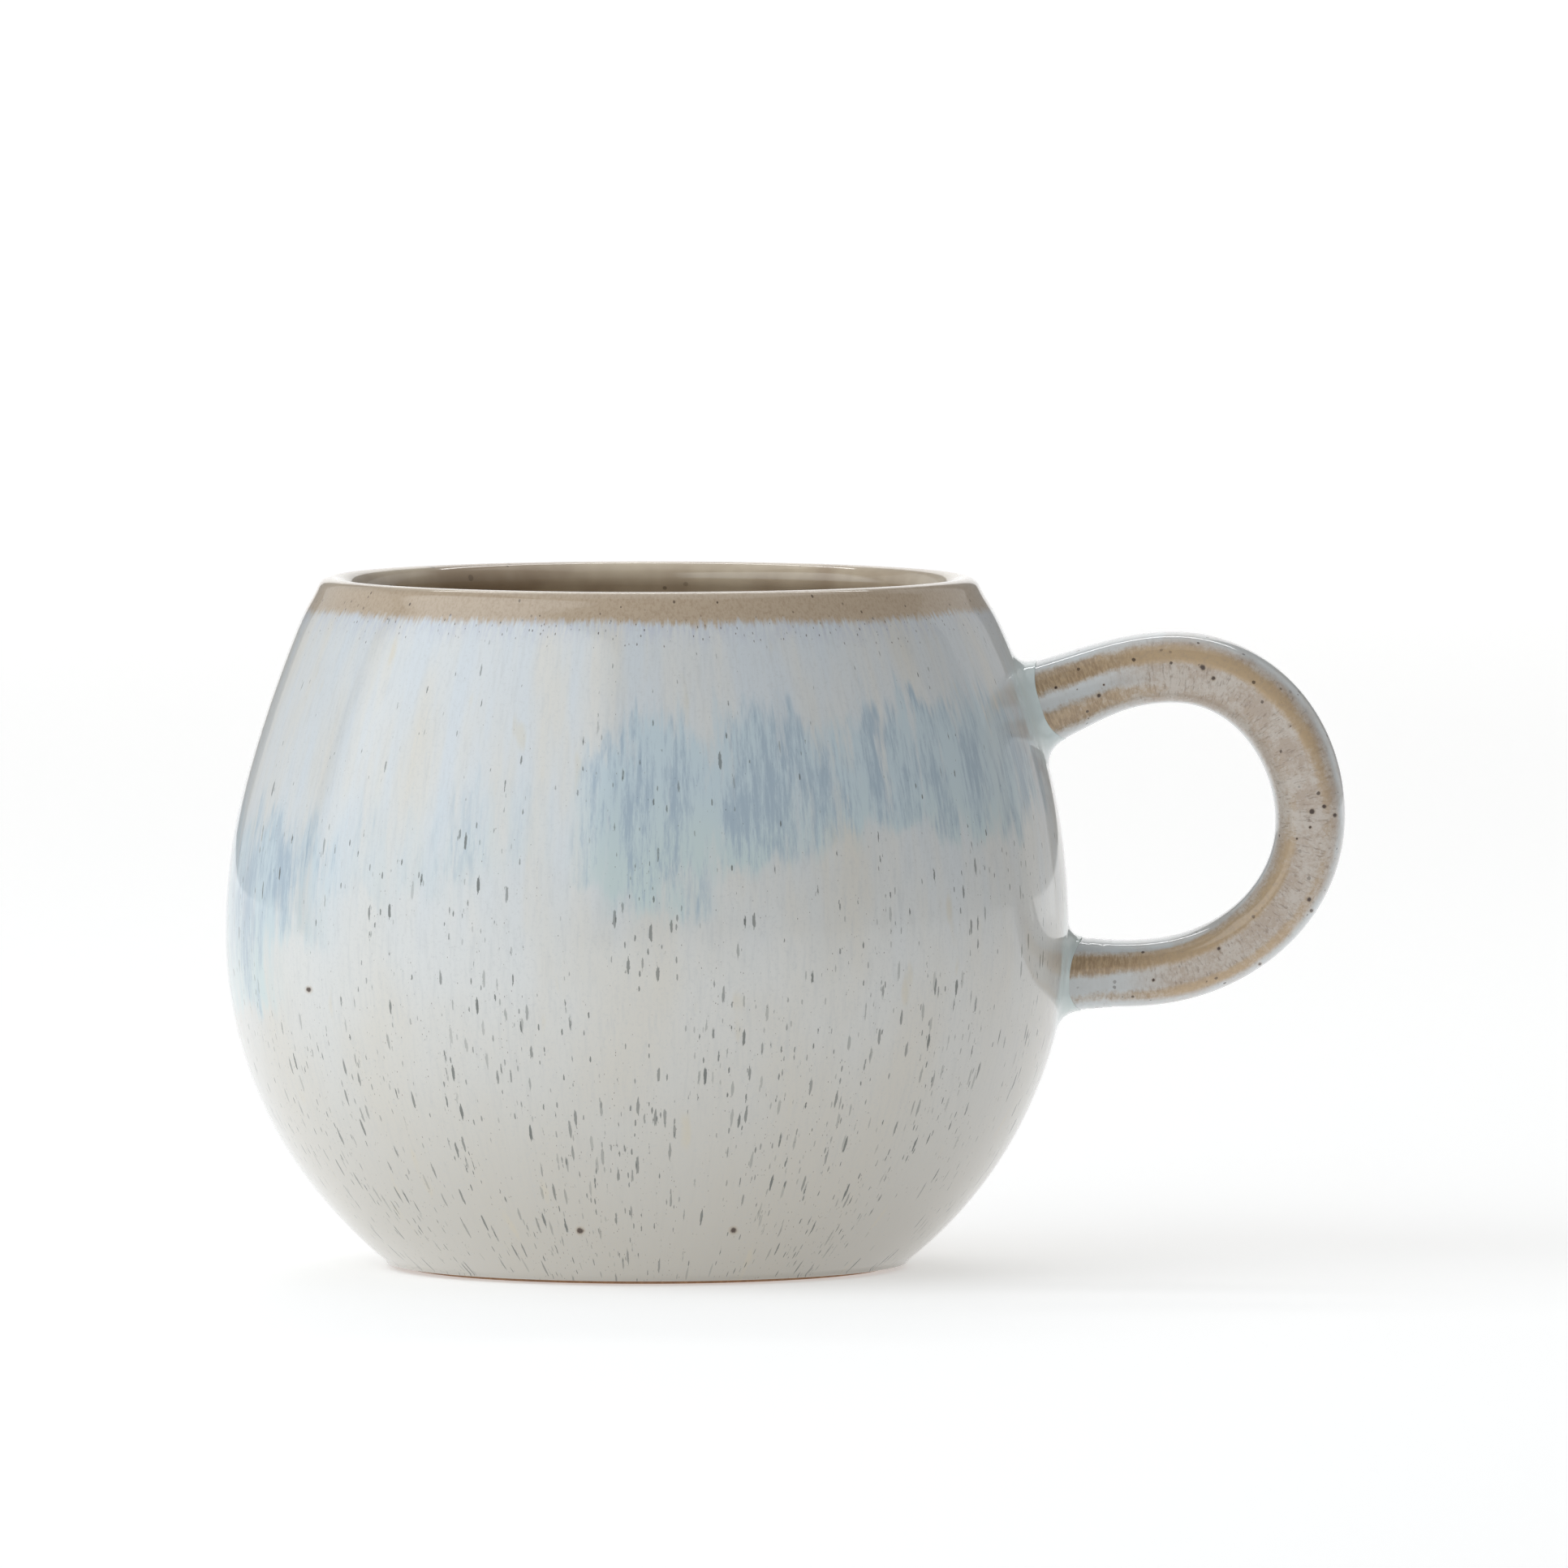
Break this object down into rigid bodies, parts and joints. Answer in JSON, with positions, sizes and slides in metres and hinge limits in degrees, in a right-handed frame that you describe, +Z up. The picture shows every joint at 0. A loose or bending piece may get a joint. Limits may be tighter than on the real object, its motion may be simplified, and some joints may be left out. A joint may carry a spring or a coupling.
{
  "type": "ceramic mug",
  "caption": "Round-bellied glazed stoneware mug with a narrower rounded lip, a trimmed foot ring and a pulled ear-shaped side handle.",
  "frame": {"origin": "middle of the mug's footprint box, handle included, on the plane that the foot ring stands on", "axes": "+Z up out of the mouth, +X from the cup towards the handle, +Y to the left of the handle; the cup's own axis is at X = -0.01655"},
  "size_m": [0.1351, 0.102, 0.0834],
  "materials": {
    "clay": "bare fired stoneware, matt brown",
    "pooled_glaze": "thick pooled glaze, glossy pale aqua",
    "liner_glaze": "glossy grey-beige glaze with dark iron specks, tan over the lip",
    "outer_glaze": "glossy off-white glaze with runny blue drips and iron specks"
  },
  "bodies": {
    "root": {"cup_body": "clay", "handle": "clay", "upper_handle_joint": "pooled_glaze", "lower_handle_joint": "pooled_glaze", "liner_glaze": "liner_glaze", "outer_glaze": "outer_glaze", "handle_glaze": "outer_glaze", "underside_glaze": "liner_glaze"}
  },
  "joints": []
}
